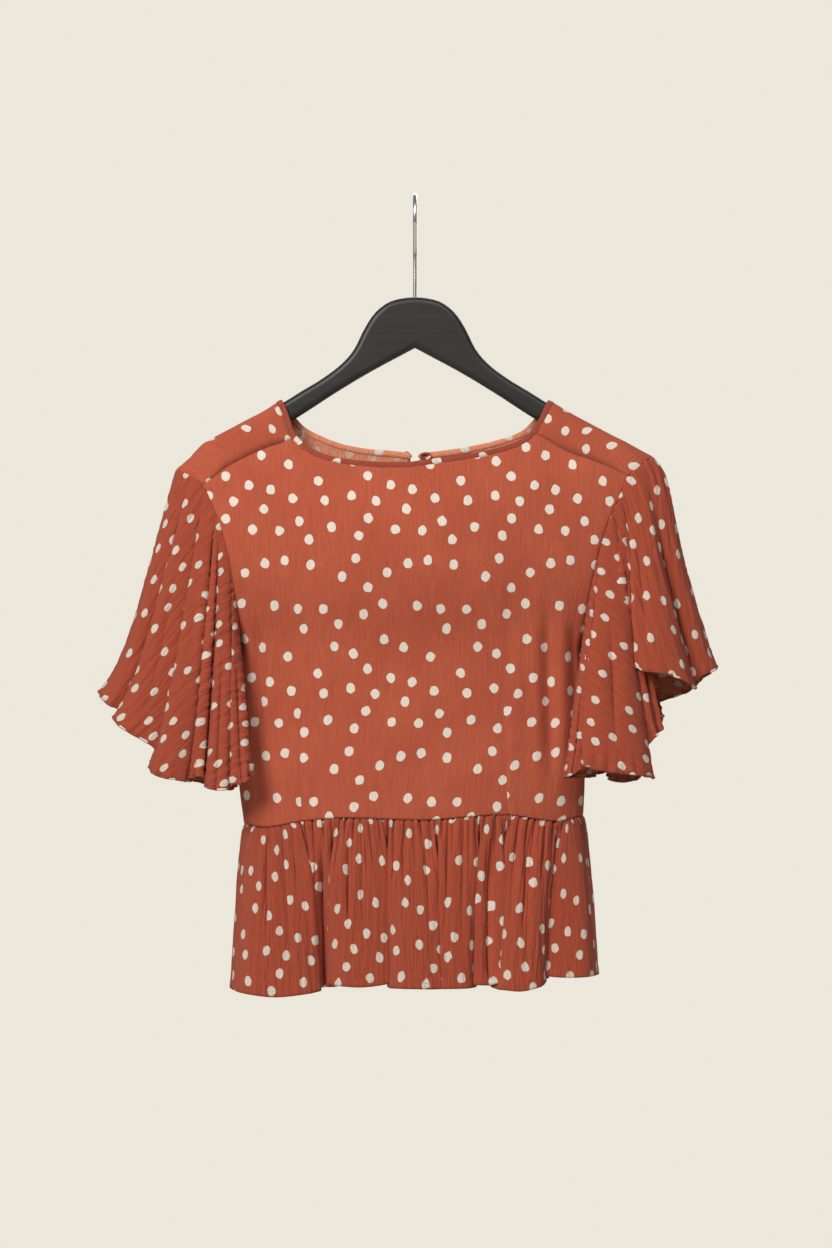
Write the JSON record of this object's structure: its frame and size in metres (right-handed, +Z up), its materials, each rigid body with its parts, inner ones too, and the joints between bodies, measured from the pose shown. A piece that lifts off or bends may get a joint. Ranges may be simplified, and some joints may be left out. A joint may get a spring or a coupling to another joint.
{
  "type": "peplum top on a wooden hanger",
  "caption": "Short-sleeved round-neck top with fluted sleeves and a gathered peplum, hanging on a flat wooden hanger with a wire hook.",
  "frame": {"origin": "inside crest of the hook's wire, where it rests on the top of a rail", "axes": "+Z up, +X to the viewer's right along the hanger, front of the top faces -Y"},
  "size_m": [0.5571, 0.13, 0.7191],
  "materials": {
    "cloth": "matt crinkled crepe, rust with cream polka dots",
    "binding": "folded strip of the same crepe",
    "button": "covered in the same crepe",
    "wood": "black satin lacquer",
    "chrome": "polished"
  },
  "bodies": {
    "root": {"bodice_front": "cloth", "bodice_back": "cloth", "yoke_left": "cloth", "yoke_right": "cloth", "sleeve_left": "cloth", "sleeve_right": "cloth", "peplum_front": "cloth", "peplum_back": "cloth", "neck_binding": "binding", "neck_button": "button", "neck_loop": "binding", "hanger_body": "wood", "hanger_hook": "chrome"}
  },
  "joints": []
}
